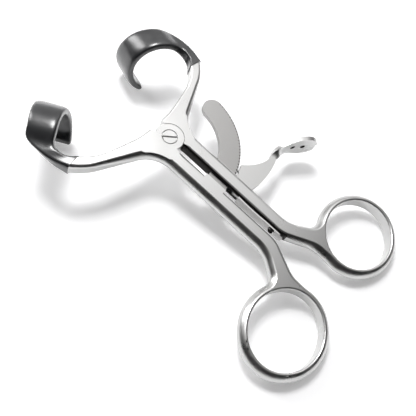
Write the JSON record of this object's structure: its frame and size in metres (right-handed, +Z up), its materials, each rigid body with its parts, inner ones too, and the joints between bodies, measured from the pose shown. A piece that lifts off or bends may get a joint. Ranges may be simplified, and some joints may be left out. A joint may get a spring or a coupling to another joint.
{
  "type": "mouth gag",
  "caption": "Hinged ring-handled mouth gag with hooked rubber-covered jaws, a toothed ratchet bar and a spring-loaded release lever.",
  "frame": {"origin": "on the hinge axis, at the flush top of the slotted joint screw", "axes": "+X forward along the middle plane to the jaws, +Y to the lever that carries the ratchet bar, +Z up out of the screw head"},
  "size_m": [0.1333, 0.0857, 0.027],
  "materials": {
    "satin_steel": "satin",
    "polished_steel": "polished",
    "jaw_rubber": "glossy"
  },
  "bodies": {
    "left_half": {"left_lever": "satin_steel", "left_jaw_sleeve": "jaw_rubber", "ratchet_bar": "satin_steel", "ratchet_rivets": "polished_steel"},
    "right_half": {"right_lever": "satin_steel", "right_jaw_sleeve": "jaw_rubber", "joint_screw": "polished_steel", "release_lever_pin": "polished_steel", "spring_screw": "polished_steel"},
    "release": {"release_lever": "satin_steel"},
    "spring": {"leaf_spring": "polished_steel"}
  },
  "joints": [
    {"name": "main_hinge", "type": "hinge", "parent": "left_half", "child": "right_half", "pos_m": [0, 0, 0], "axis": [0, 0, 1], "range_deg": [0, 45.9]},
    {"name": "release_pivot", "type": "hinge", "parent": "right_half", "child": "release", "pos_m": [-0.031, -0.0042, 0], "axis": [0, 0, 1], "range_deg": [-6, 4.8], "stiffness_Nm_per_rad": 0.02, "springref_deg": 20.05},
    {"name": "spring_flex", "type": "hinge", "parent": "right_half", "child": "spring", "pos_m": [-0.0455, -0.00145, 0], "axis": [0, 0, 1], "range_deg": [-1, 1.25]}
  ],
  "couplings": [
    {"joint": "spring_flex", "follows": "release_pivot", "ratio": -0.2}
  ]
}
